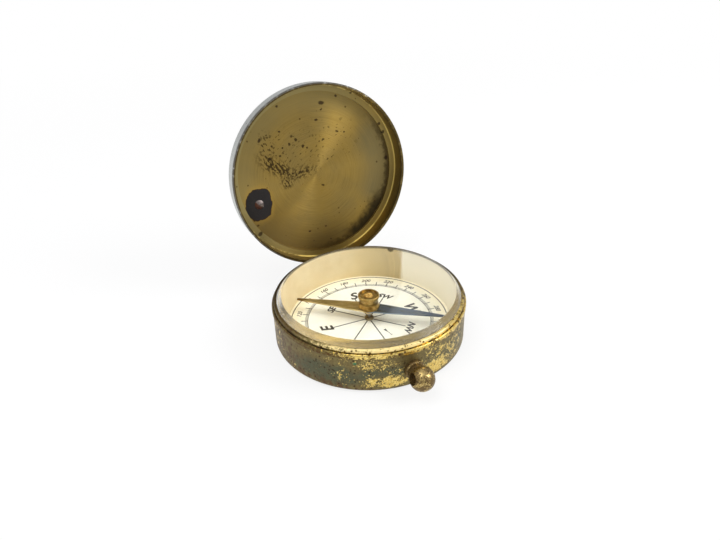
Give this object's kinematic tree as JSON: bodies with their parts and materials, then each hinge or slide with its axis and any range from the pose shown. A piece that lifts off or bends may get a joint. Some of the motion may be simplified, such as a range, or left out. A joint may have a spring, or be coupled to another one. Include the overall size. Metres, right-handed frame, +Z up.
{
  "type": "pocket compass",
  "caption": "Round brass pocket compass with a hinged lid, a thick bevelled glass, a printed degree dial, a swinging lance needle and a ball pendant with a cross bore.",
  "frame": {"origin": "middle of the case's flat underside, on the axis that the needle turns on", "axes": "+Z up out of the dial; +Y towards the hinge, so that the pendant lies towards -Y; +X along the hinge"},
  "size_m": [0.0504, 0.0704, 0.0581],
  "materials": {
    "case_brass": "turned brass with a dark brown-green patina, worn to bright metal on the edges",
    "bezel_brass": "handled, half polished",
    "lid_brass": "spun inside with fine circular lines, spotted and scratched",
    "liner_brass": "pale lacquered satin",
    "steel": "ground",
    "blued_steel": "one half blued, the other straw",
    "solder": "dull, coppery at its edge",
    "jewel": "polished",
    "dial_paper": "matt card, printed in black",
    "ink": "black printing ink",
    "glass": "clear, polished bevel"
  },
  "bodies": {
    "case": {"drum": "case_brass", "bezel_ring": "bezel_brass", "glass": "glass", "liner_ring": "liner_brass", "dial_plate": "liner_brass", "dial_card": "dial_paper", "pivot_boss": "liner_brass", "pivot_pin": "steel", "hinge_case_knuckles": "case_brass", "hinge_pin": "steel", "pendant_ball": "case_brass", "pendant_collar": "case_brass", "pendant_nut": "liner_brass"},
    "lid": {"lid": "lid_brass", "lid_solder_drop": "solder", "hinge_lid_knuckle": "case_brass"},
    "needle": {"needle": "blued_steel", "needle_cap": "bezel_brass", "cap_jewel": "jewel"}
  },
  "joints": [
    {"name": "lid_hinge", "type": "hinge", "parent": "case", "child": "lid", "pos_m": [0, 0.0241, 0.00965], "axis": [1, 0, 0], "range_deg": [0, 99]},
    {"name": "needle_swing", "type": "hinge", "parent": "case", "child": "needle", "pos_m": [0, 0, 0.006], "axis": [0, 0, 1], "continuous": true}
  ]
}
